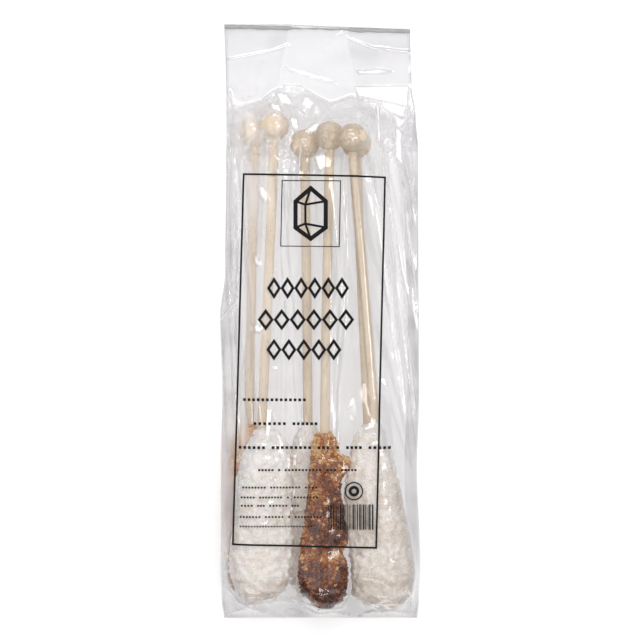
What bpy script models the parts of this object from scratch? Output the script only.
"""A clear gusseted film bag of rock candy sticks, sealed at both ends and lying on its back.

The bag is one closed solid. Its front is a film drawn over six sticks: each has a turned wooden
knob near the bag's head, a thin shaft, and a cluster of sugar crystals at the bag's foot. The head
ends in a flat empty flap, and the foot in a seam half way up a blunt end. The sides are pleated
inwards, where the gussets fold.

Lengths are in millimetres up to the last step, which makes the mesh in metres. +Y runs from foot to
head, +X to the right as seen from the front, and +Z out of the front.
"""

from collections import namedtuple

import bpy
import numpy as np

MM = 0.001
FAR_BELOW = -100.0  # a height where there is nothing

# The bag
LENGTH = 182.0
FILM = 0.4  # the film and the air under it, over what it touches
LEAF = 1.2  # thickness of the flap and of the foot's seam
SEAM_HEIGHT = 11.5  # of the foot's seam above the floor
FOOT_DEPTH = 7.0  # how far the blunt foot curves in before the back lies flat
HEAD_SLANT = 1.5  # how much shorter the bag is along its right edge
FLAP_FROM = 163.0  # where the empty flap starts, in which front and back lie together

# Stations along the bag: (place, left half-width, right half-width, height of the front's edge fold,
# depth of the gusset's pleat)
STATIONS = (
    (0.0, 29.5, 29.6, SEAM_HEIGHT + LEAF, 0.0),
    (5.0, 30.1, 30.1, 14.0, 0.8),
    (15.0, 30.6, 30.6, 15.0, 1.6),
    (48.0, 30.5, 29.5, 15.0, 1.8),
    (68.0, 30.0, 30.2, 13.5, 2.6),
    (92.0, 30.7, 30.1, 12.0, 3.4),
    (106.0, 29.2, 30.0, 10.5, 3.2),
    (142.0, 29.0, 30.0, 6.5, 2.0),
    (154.0, 29.0, 29.3, 2.4, 0.6),
    (FLAP_FROM, 29.1, 28.1, LEAF, 0.0),
    (LENGTH, 29.6, 27.6, LEAF, 0.0),
)

# The sticks
KNOB_RADIUS = 4.6
SHAFT_RADIUS = 1.5
Stick = namedtuple("Stick", "sugar_x sugar_z half_width half_depth foot top knob_x knob_y knob_z")
STICKS = (
    Stick(-18.3, 20.0, 10.3, 6.9, 5.0, 58.0, -14.0, 150.2, 10.4),
    Stick(1.0, 20.2, 7.9, 7.1, 3.0, 58.0, 2.9, 147.2, 11.2),
    Stick(18.4, 20.0, 10.0, 6.9, 3.6, 59.5, 9.4, 146.3, 17.1),
    Stick(-21.5, 7.0, 8.4, 6.4, 6.0, 59.5, -20.2, 148.4, 5.0),
    Stick(-3.6, 7.0, 8.4, 6.4, 6.0, 59.5, -4.9, 145.0, 5.0),
    Stick(17.4, 7.0, 8.4, 6.4, 6.0, 59.5, 10.9, 145.0, 5.0),
)

# The grid on which the front's height is worked out, and the rings of the solid
GRID_ACROSS = 61
GRID_ALONG = 183
PULL_ALONG = 4.0  # the film is drawn tighter along the bag than across it
ROUNDS = 2500
FRONT_POINTS = 27
SIDE_POINTS = 5
BACK_POINTS = 13
RINGS_FOOT = 12
RINGS_BODY = 40
RINGS_HEAD = 12
FOOT_ZONE = 12.0
HEAD_ZONE = 150.0
BACK_ROUNDING = 2.4  # how far in from its edges the back lifts off the floor
BACK_LIFT = 1.0

FILM_COLOUR = (0.80, 0.79, 0.78, 1.0)
FILM_ROUGHNESS = 0.12


def eased(t):
    """0 below 0, 1 above 1, and a smooth step between."""
    t = np.clip(t, 0.0, 1.0)
    return t * t * (3.0 - 2.0 * t)


def station(y, column):
    """One column of STATIONS at y, eased from each station to the next."""
    places = [s[0] for s in STATIONS]
    values = np.array([s[column] for s in STATIONS])
    i = np.clip(np.searchsorted(places, y, side="right") - 1, 0, len(places) - 2)
    start, end = np.take(places, i), np.take(places, i + 1)
    return values[i] + (values[i + 1] - values[i]) * eased((y - start) / (end - start))


def across(side, y):
    """x of a place across the bag, from -1 at its left edge to 1 at its right."""
    return np.where(side < 0, side * station(y, 1), side * station(y, 2))


def along(side, y):
    """y with the head cut on a slant, shorter to the right."""
    return y - HEAD_SLANT * (side + 1.0) / 2.0 * eased((y - HEAD_ZONE) / (LENGTH - HEAD_ZONE))


def sugar_share(t):
    """A cluster's thickness along its length as a share of the greatest: round at the foot, and
    narrower towards the shaft."""
    ends = np.clip(1.0 - np.abs(2.0 * t - 1.0) ** 4, 0.0, 1.0) ** 0.5
    return ends * (1.0 - 0.34 * t)


def dome(x, centre, half_width, height):
    """Height of an elliptical section above its axis, and far below zero outside it."""
    inside = 1.0 - ((x - centre) / half_width) ** 2
    return np.where(inside > 0.0, height * np.sqrt(np.clip(inside, 0.0, None)), FAR_BELOW)


def top_of(stick, x, y):
    """Height of the stick's upper side over each place."""
    t = (y - stick.foot) / (stick.top - stick.foot)
    share = np.maximum(sugar_share(np.clip(t, 0.0, 1.0)), 0.01)
    sugar = stick.sugar_z + dome(x, stick.sugar_x, stick.half_width * share, stick.half_depth * share)
    sugar = np.where((t > 0.0) & (t < 1.0), sugar, FAR_BELOW)

    run = np.clip((y - stick.top) / (stick.knob_y - stick.top), 0.0, 1.0)
    shaft_x = stick.sugar_x + (stick.knob_x - stick.sugar_x) * run
    shaft_z = stick.sugar_z + (stick.knob_z - stick.sugar_z) * run
    shaft = shaft_z + dome(x, shaft_x, SHAFT_RADIUS, SHAFT_RADIUS)
    shaft = np.where((y > stick.top) & (y < stick.knob_y), shaft, FAR_BELOW)

    round_share = np.sqrt(np.clip(1.0 - ((y - stick.knob_y) / KNOB_RADIUS) ** 2, 1e-4, None))
    knob = stick.knob_z + dome(x, stick.knob_x, KNOB_RADIUS * round_share, KNOB_RADIUS * round_share)
    knob = np.where(np.abs(y - stick.knob_y) < KNOB_RADIUS, knob, FAR_BELOW)
    return np.maximum(np.maximum(sugar, shaft), knob)


def back_height(y):
    """The back lies on the floor, and curves up to the seam at the blunt foot."""
    t = np.clip(1.0 - y / FOOT_DEPTH, 0.0, 1.0)
    return SEAM_HEIGHT * (1.0 - np.sqrt(1.0 - t**2))


def drawn_front():
    """The front's height on a grid. Each point between the edges takes the mean of its neighbours,
    but no less than the top of the sticks below it, over and over until the film is taut."""
    side = np.linspace(-1.0, 1.0, GRID_ACROSS)[None, :]
    y = np.linspace(0.0, LENGTH, GRID_ALONG)[:, None]
    x = across(side, y)
    floor = np.max([top_of(stick, x, y) for stick in STICKS], axis=0) + FILM
    floor = np.maximum(floor, back_height(y) + LEAF)
    edge = station(y, 3)
    height = np.maximum(floor, edge)
    step_across = 2.0 * station(y, 1) / (GRID_ACROSS - 1)
    step_along = LENGTH / (GRID_ALONG - 1)
    pull = PULL_ALONG * (step_across / step_along) ** 2
    flap = int(np.ceil(FLAP_FROM / step_along))
    for _ in range(ROUNDS):
        height[:, 0] = edge[:, 0]
        height[:, -1] = edge[:, 0]
        height[0, :] = edge[0, 0]
        height[flap:, :] = LEAF
        sideways = height[1:-1, :-2] + height[1:-1, 2:]
        lengthways = height[:-2, 1:-1] + height[2:, 1:-1]
        share = pull[1:-1]
        mean = (sideways + share * lengthways) / (2.0 + 2.0 * share)
        height[1:-1, 1:-1] = np.maximum(mean, floor[1:-1, 1:-1])
    return height


def sampled(grid, side, y):
    """The grid's height between its points."""
    column = (side + 1.0) / 2.0 * (GRID_ACROSS - 1)
    row = y / LENGTH * (GRID_ALONG - 1)
    i = np.clip(column.astype(int), 0, GRID_ACROSS - 2)
    j = np.clip(row.astype(int), 0, GRID_ALONG - 2)
    u, v = column - i, row - j
    near = grid[j, i] * (1.0 - u) + grid[j, i + 1] * u
    far = grid[j + 1, i] * (1.0 - u) + grid[j + 1, i + 1] * u
    return near * (1.0 - v) + far * v


def ring(grid, y):
    """One section of the bag: over the front from left to right, down the right side's pleat, back
    across the floor and up the left side's pleat."""
    front_side = np.linspace(-1.0, 1.0, FRONT_POINTS)
    front_y = np.full(FRONT_POINTS, y)
    front_z = sampled(grid, front_side, front_y)
    front = np.stack([across(front_side, front_y), along(front_side, front_y), front_z], axis=1)

    down = np.linspace(0.0, 1.0, SIDE_POINTS + 2)[1:-1]
    inward = 1.0 - np.abs(2.0 * down - 1.0)
    low, edge, pleat = back_height(y), station(y, 3), station(y, 4)
    lift = np.minimum(BACK_LIFT, (edge - low) / 3.0)
    wall_z = edge + (low + lift - edge) * down
    right_x, right_y = station(y, 2) - pleat * inward, np.full(SIDE_POINTS, along(1.0, y))
    left_x, left_y = pleat * inward - station(y, 1), np.full(SIDE_POINTS, along(-1.0, y))
    right = np.stack([right_x, right_y, wall_z], axis=1)
    left = np.stack([left_x, left_y, wall_z], axis=1)

    back_side = np.linspace(1.0, -1.0, BACK_POINTS)
    back_y = np.full(BACK_POINTS, y)
    back_x = across(back_side, back_y)
    from_edge = station(y, 1) * (1.0 - np.abs(back_side))
    back_z = low + lift * (1.0 - eased(from_edge / BACK_ROUNDING))
    back = np.stack([back_x, along(back_side, back_y), back_z], axis=1)
    return np.concatenate([front, right, back, left[::-1]])


def ring_places():
    """Where the rings lie: closer together at the foot and the head than along the body."""
    foot = FOOT_ZONE * np.linspace(0.0, 1.0, RINGS_FOOT, endpoint=False) ** 1.5
    body = np.linspace(FOOT_ZONE, HEAD_ZONE, RINGS_BODY, endpoint=False)
    head = np.linspace(HEAD_ZONE, LENGTH, RINGS_HEAD)
    return np.concatenate([foot, body, head])


def bag_material():
    """Clear film, which shows as a pale gloss."""
    material = bpy.data.materials.new("film")
    material.use_nodes = True
    shader = material.node_tree.nodes["Principled BSDF"]
    shader.inputs["Base Color"].default_value = FILM_COLOUR
    shader.inputs["Roughness"].default_value = FILM_ROUGHNESS
    shader.inputs["Metallic"].default_value = 0.0
    return material


def make_bag():
    """Rings from foot to head, joined by four-sided faces, with a face closing each end."""
    grid = drawn_front()
    rings = [ring(grid, y) for y in ring_places()]
    points = np.concatenate(rings)
    low, high = points.min(axis=0), points.max(axis=0)
    points -= [(low[0] + high[0]) / 2.0, (low[1] + high[1]) / 2.0, low[2]]

    count = len(rings[0])
    faces = []
    for j in range(len(rings) - 1):
        for i in range(count):
            here, there = j * count + i, j * count + (i + 1) % count
            faces.append((here, there, there + count, here + count))
    faces.append(tuple(reversed(range(count))))
    faces.append(tuple(range((len(rings) - 1) * count, len(rings) * count)))

    mesh = bpy.data.meshes.new("bag")
    mesh.from_pydata((points * MM).tolist(), [], faces)
    mesh.materials.append(bag_material())
    mesh.update()
    mesh.shade_smooth()
    bag = bpy.data.objects.new("bag", mesh)
    bpy.context.scene.collection.objects.link(bag)
    return bag


def main():
    for old in list(bpy.data.objects):
        bpy.data.objects.remove(old)
    make_bag()


main()
